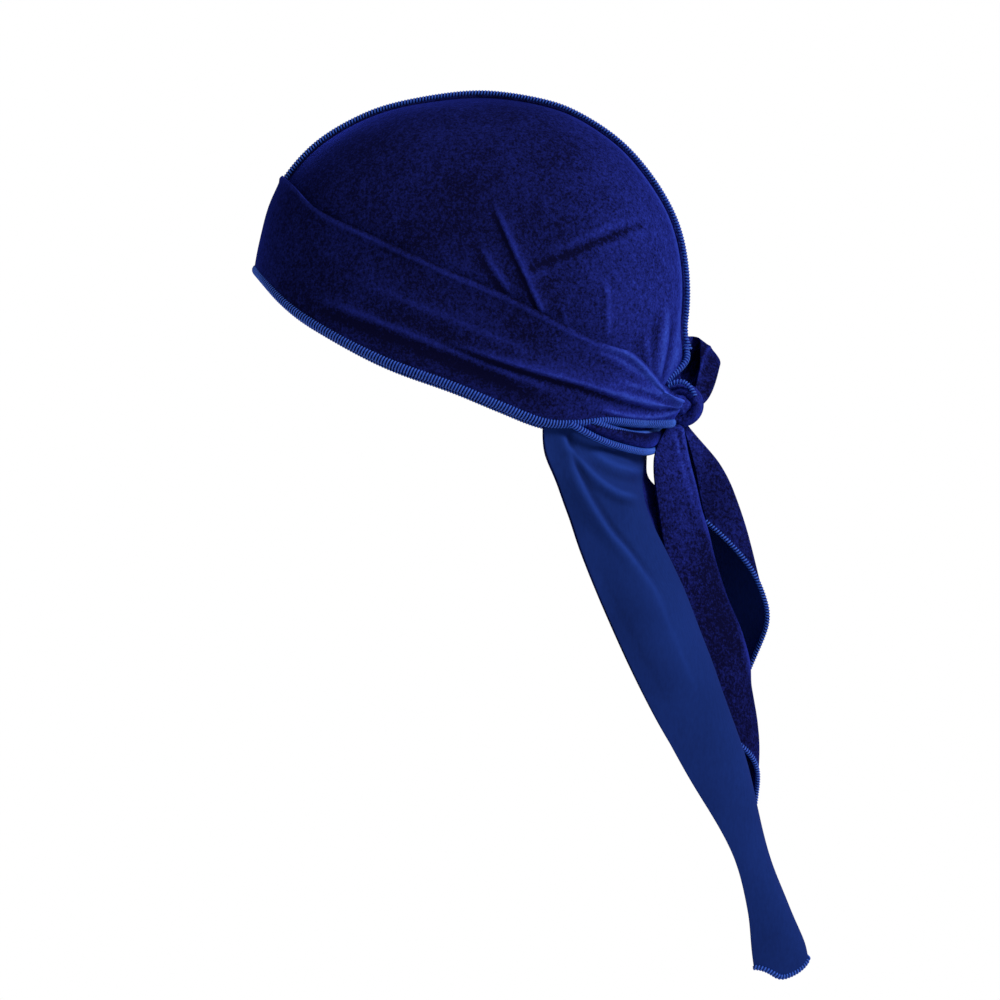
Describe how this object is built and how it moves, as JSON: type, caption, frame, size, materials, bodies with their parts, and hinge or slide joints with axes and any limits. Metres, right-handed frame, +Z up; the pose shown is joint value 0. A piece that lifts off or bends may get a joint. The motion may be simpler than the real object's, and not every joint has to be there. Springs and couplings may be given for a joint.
{
  "type": "durag",
  "caption": "Velvet durag in its worn form: domed cap with a centre seam, ties wound round the brow and tied in a half bow at the back, and a long rounded cape.",
  "frame": {"origin": "inside of the crown's top, where the wearer's head bears, on the middle plane", "axes": "+Z up, -Y towards the brow, +Y towards the knot and the cape, +X to the wearer's left"},
  "size_m": [0.1562, 0.2493, 0.4029],
  "materials": {
    "velvet": "deep blue stretch velvet with a short nap",
    "wrong_side": "smooth matte knitted back of the velvet",
    "overlock": "overlock stitching in bright blue thread"
  },
  "bodies": {
    "root": {"crown_left": "velvet", "crown_right": "velvet", "centre_seam": "overlock", "seam_fork": "overlock", "crown_hem": "overlock", "brow_band": "velvet", "nape_roll_left": "velvet", "nape_roll_right": "velvet", "knot_wrap": "velvet", "knot_core": "velvet", "bow_loop": "velvet", "tie_near": "velvet", "tie_near_hem": "overlock", "tie_far": "velvet", "tie_far_hem": "overlock", "cape": "wrong_side", "cape_hem": "overlock"}
  },
  "joints": []
}
